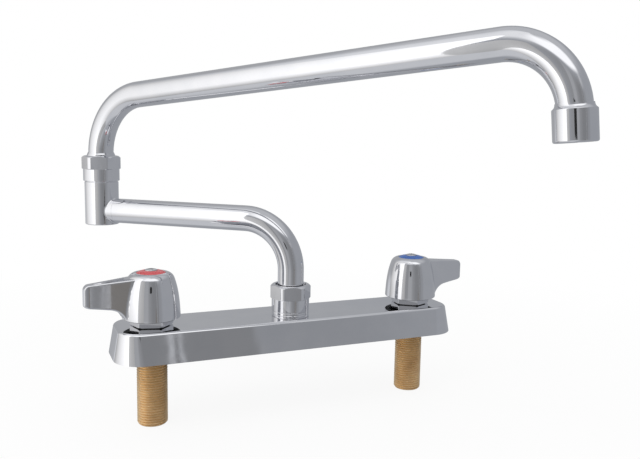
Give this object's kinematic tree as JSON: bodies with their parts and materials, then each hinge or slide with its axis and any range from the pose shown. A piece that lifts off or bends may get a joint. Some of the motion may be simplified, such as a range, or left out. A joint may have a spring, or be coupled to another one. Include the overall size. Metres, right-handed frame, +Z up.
{
  "type": "deck-mounted faucet",
  "caption": "Deck-mounted chrome faucet with hot and cold lever valves on a long low deck, threaded brass inlet shanks below and a double-jointed swing spout.",
  "frame": {"origin": "centre of the deck's foot, on the surface that the faucet is mounted on", "axes": "+X along the deck from the hot valve to the cold valve, -Y towards the user, +Z up"},
  "size_m": [0.2938, 0.3261, 0.2606],
  "materials": {
    "chrome": "polished",
    "shank_brass": "as machined",
    "inner_brass": "as machined",
    "rubber": "matt",
    "ceramic": "lapped",
    "bearing_plastic": "satin",
    "index_red": "gloss",
    "index_blue": "gloss",
    "screw_steel": "bright",
    "insert_plastic": "satin",
    "screen_steel": "woven"
  },
  "bodies": {
    "deck": {"deck_body": "chrome", "hot_shank": "shank_brass", "cold_shank": "shank_brass", "hot_bonnet_gasket": "rubber", "cold_bonnet_gasket": "rubber", "hot_bonnet": "chrome", "cold_bonnet": "chrome", "hot_seat_seal": "rubber", "cold_seat_seal": "rubber", "hot_fixed_disc": "ceramic", "cold_fixed_disc": "ceramic", "hot_thrust_washer": "bearing_plastic", "cold_thrust_washer": "bearing_plastic", "spout_nut": "chrome", "lower_thrust_washer": "bearing_plastic", "lower_slip_ring": "bearing_plastic"},
    "hot_handle": {"hot_stem": "inner_brass", "hot_stem_o_rings": "rubber", "hot_moving_disc": "ceramic", "hot_handle": "chrome", "hot_index_ring": "index_red", "hot_handle_screw": "screw_steel"},
    "cold_handle": {"cold_stem": "inner_brass", "cold_stem_o_rings": "rubber", "cold_moving_disc": "ceramic", "cold_handle": "chrome", "cold_index_ring": "index_blue", "cold_handle_screw": "screw_steel"},
    "lower_arm": {"lower_nipple": "chrome", "lower_o_rings": "rubber", "lower_tube": "chrome", "swivel_body": "chrome", "swivel_nut": "chrome", "upper_thrust_washer": "bearing_plastic", "upper_slip_ring": "bearing_plastic"},
    "upper_arm": {"upper_nipple": "chrome", "upper_o_rings": "rubber", "upper_tube": "chrome", "outlet_body": "chrome", "outlet_washer": "rubber", "flow_straightener": "insert_plastic", "outlet_screen": "screen_steel"}
  },
  "joints": [
    {"name": "hot_valve", "type": "hinge", "parent": "deck", "child": "hot_handle", "pos_m": [-0.1016, 0, 0.04], "axis": [0, 0, 1], "range_deg": [0, 90]},
    {"name": "cold_valve", "type": "hinge", "parent": "deck", "child": "cold_handle", "pos_m": [0.1016, 0, 0.04], "axis": [0, 0, 1], "range_deg": [-90, 0]},
    {"name": "lower_arm_swing", "type": "hinge", "parent": "deck", "child": "lower_arm", "pos_m": [0, 0, 0.03], "axis": [0, 0, 1], "continuous": true},
    {"name": "upper_arm_swing", "type": "hinge", "parent": "lower_arm", "child": "upper_arm", "pos_m": [-0.11965, 0.10623, 0.12], "axis": [0, 0, 1], "continuous": true}
  ]
}
